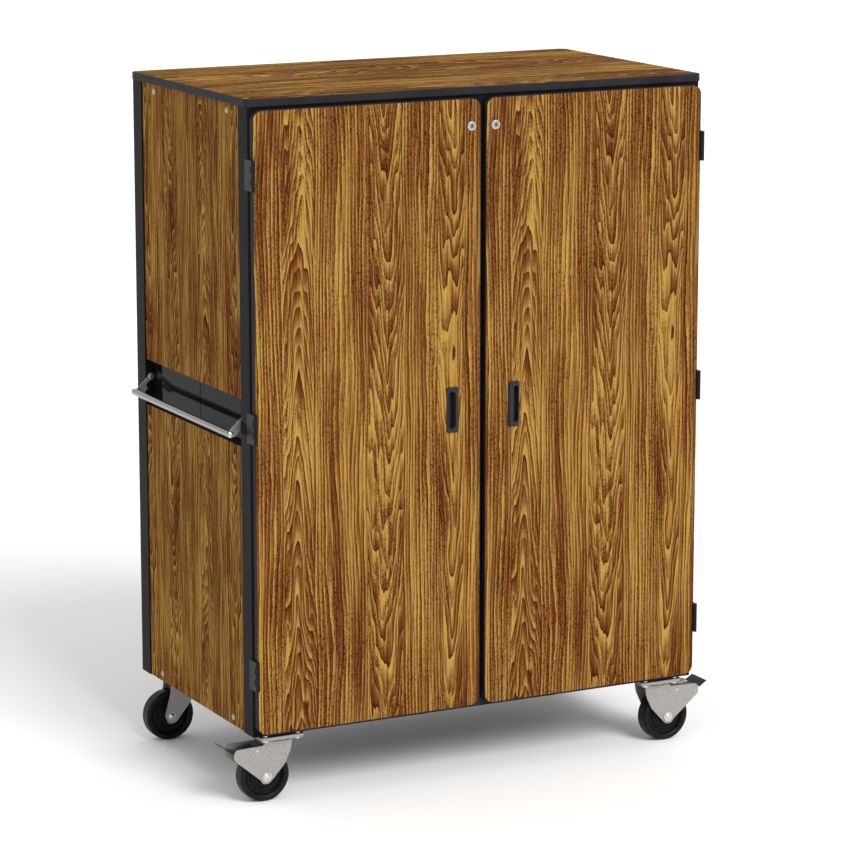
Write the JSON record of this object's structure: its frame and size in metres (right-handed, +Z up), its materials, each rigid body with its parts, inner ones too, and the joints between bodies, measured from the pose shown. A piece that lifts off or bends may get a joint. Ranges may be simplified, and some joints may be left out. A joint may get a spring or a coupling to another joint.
{
  "type": "housekeeping cart",
  "caption": "Tall rolling cabinet cart with two hinged lockable doors, shelves behind them, swivel casters with foot brakes and a swing-down push handle on one side.",
  "frame": {"origin": "on the floor at the middle of the footprint", "axes": "+Z up; the doors face -Y; the push handle is on the -X side"},
  "size_m": [1.328, 0.7085, 1.688],
  "materials": {
    "laminate": "oak-look laminate, satin",
    "board": "laminated board, satin",
    "edge_band": "moulded charcoal edge band",
    "charcoal_paint": "charcoal anodised or painted extrusion, semi-gloss",
    "liner": "glossy charcoal sheet",
    "hinge_metal": "charcoal paint, satin",
    "pull_plastic": "moulded charcoal plastic",
    "lock_metal": "bright plated",
    "handle_steel": "satin steel",
    "caster_steel": "satin zinc plate",
    "wheel_rubber": "dark grey rubber tread on a moulded wheel",
    "pedal_black": "black paint",
    "fastener": "bright zinc"
  },
  "bodies": {
    "cabinet": {"back_panel": "laminate", "bottom_panel": "board", "caster_bolts": "fastener", "caster_kingpins": "caster_steel", "caster_plate_front_left": "caster_steel", "caster_plate_front_right": "caster_steel", "caster_plate_rear_left": "caster_steel", "caster_plate_rear_right": "caster_steel", "centre_partition": "board", "centre_stile": "charcoal_paint", "corner_post_front_left": "charcoal_paint", "corner_post_front_right": "charcoal_paint", "corner_post_rear_left": "charcoal_paint", "corner_post_rear_right": "charcoal_paint", "front_top_rail": "charcoal_paint", "handle_pivots": "handle_steel", "hinge_frame_leaves": "hinge_metal", "hinge_pins": "hinge_metal", "recess_liners": "liner", "shelf_pins": "fastener", "shelves_left_bay": "board", "shelves_right_bay": "board", "side_panel_left_lower": "laminate", "side_panel_left_upper": "laminate", "side_panel_right": "laminate", "side_screws": "fastener", "top_edge_band": "edge_band", "top_panel": "laminate"},
    "door_left": {"door_panel_left": "laminate", "door_edge_left": "edge_band", "door_hinge_leaves_left": "hinge_metal", "door_pull_left": "pull_plastic", "lock_body_left": "lock_metal"},
    "door_right": {"door_panel_right": "laminate", "door_edge_right": "edge_band", "door_hinge_leaves_right": "hinge_metal", "door_pull_right": "pull_plastic", "lock_body_right": "lock_metal"},
    "lock_left": {"lock_plug_left": "lock_metal", "lock_cam_left": "lock_metal"},
    "lock_right": {"lock_plug_right": "lock_metal", "lock_cam_right": "lock_metal"},
    "push_handle": {"handle_tube": "handle_steel", "handle_end_bolts": "handle_steel", "handle_arm_front": "handle_steel", "handle_arm_rear": "handle_steel"},
    "caster_front_left": {"caster_fork_front_left": "caster_steel", "caster_axle_front_left": "caster_steel"},
    "wheel_front_left": {"wheel_front_left": "wheel_rubber"},
    "pedal_front_left": {"brake_pedal_front_left": "pedal_black"},
    "caster_front_right": {"caster_fork_front_right": "caster_steel", "caster_axle_front_right": "caster_steel"},
    "wheel_front_right": {"wheel_front_right": "wheel_rubber"},
    "pedal_front_right": {"brake_pedal_front_right": "pedal_black"},
    "caster_rear_left": {"caster_fork_rear_left": "caster_steel", "caster_axle_rear_left": "caster_steel"},
    "wheel_rear_left": {"wheel_rear_left": "wheel_rubber"},
    "caster_rear_right": {"caster_fork_rear_right": "caster_steel", "caster_axle_rear_right": "caster_steel"},
    "wheel_rear_right": {"wheel_rear_right": "wheel_rubber"}
  },
  "joints": [
    {"name": "door_left_hinge", "type": "hinge", "parent": "cabinet", "child": "door_left", "pos_m": [-0.6, -0.34925, 0.921], "axis": [0, 0, -1], "range_deg": [0, 225]},
    {"name": "door_right_hinge", "type": "hinge", "parent": "cabinet", "child": "door_right", "pos_m": [0.6, -0.34925, 0.921], "axis": [0, 0, 1], "range_deg": [0, 268]},
    {"name": "lock_left_turn", "type": "hinge", "parent": "door_left", "child": "lock_left", "pos_m": [-0.0321, -0.3432, 1.597], "axis": [0, -1, 0], "range_deg": [0, 90]},
    {"name": "lock_right_turn", "type": "hinge", "parent": "door_right", "child": "lock_right", "pos_m": [0.0321, -0.3432, 1.597], "axis": [0, 1, 0], "range_deg": [0, 90]},
    {"name": "push_handle_swing", "type": "hinge", "parent": "cabinet", "child": "push_handle", "pos_m": [-0.5895, 0.01425, 0.937], "axis": [0, 1, 0], "range_deg": [-22, 47]},
    {"name": "swivel_front_left", "type": "hinge", "parent": "cabinet", "child": "caster_front_left", "pos_m": [-0.523, -0.27175, 0.15], "axis": [0, 0, 1], "continuous": true},
    {"name": "wheel_spin_front_left", "type": "hinge", "parent": "caster_front_left", "child": "wheel_front_left", "pos_m": [-0.556, -0.27175, 0.0635], "axis": [0, 1, 0], "continuous": true},
    {"name": "pedal_front_left", "type": "hinge", "parent": "caster_front_left", "child": "pedal_front_left", "pos_m": [-0.581, -0.27175, 0.131], "axis": [0, -1, 0], "range_deg": [0, 6.5]},
    {"name": "swivel_front_right", "type": "hinge", "parent": "cabinet", "child": "caster_front_right", "pos_m": [0.523, -0.27175, 0.15], "axis": [0, 0, 1], "continuous": true},
    {"name": "wheel_spin_front_right", "type": "hinge", "parent": "caster_front_right", "child": "wheel_front_right", "pos_m": [0.556, -0.27175, 0.0635], "axis": [0, 1, 0], "continuous": true},
    {"name": "pedal_front_right", "type": "hinge", "parent": "caster_front_right", "child": "pedal_front_right", "pos_m": [0.581, -0.27175, 0.131], "axis": [0, 1, 0], "range_deg": [0, 6.5]},
    {"name": "swivel_rear_left", "type": "hinge", "parent": "cabinet", "child": "caster_rear_left", "pos_m": [-0.523, 0.30025, 0.15], "axis": [0, 0, 1], "continuous": true},
    {"name": "wheel_spin_rear_left", "type": "hinge", "parent": "caster_rear_left", "child": "wheel_rear_left", "pos_m": [-0.556, 0.30025, 0.0635], "axis": [0, 1, 0], "continuous": true},
    {"name": "swivel_rear_right", "type": "hinge", "parent": "cabinet", "child": "caster_rear_right", "pos_m": [0.523, 0.30025, 0.15], "axis": [0, 0, 1], "continuous": true},
    {"name": "wheel_spin_rear_right", "type": "hinge", "parent": "caster_rear_right", "child": "wheel_rear_right", "pos_m": [0.556, 0.30025, 0.0635], "axis": [0, 1, 0], "continuous": true}
  ]
}
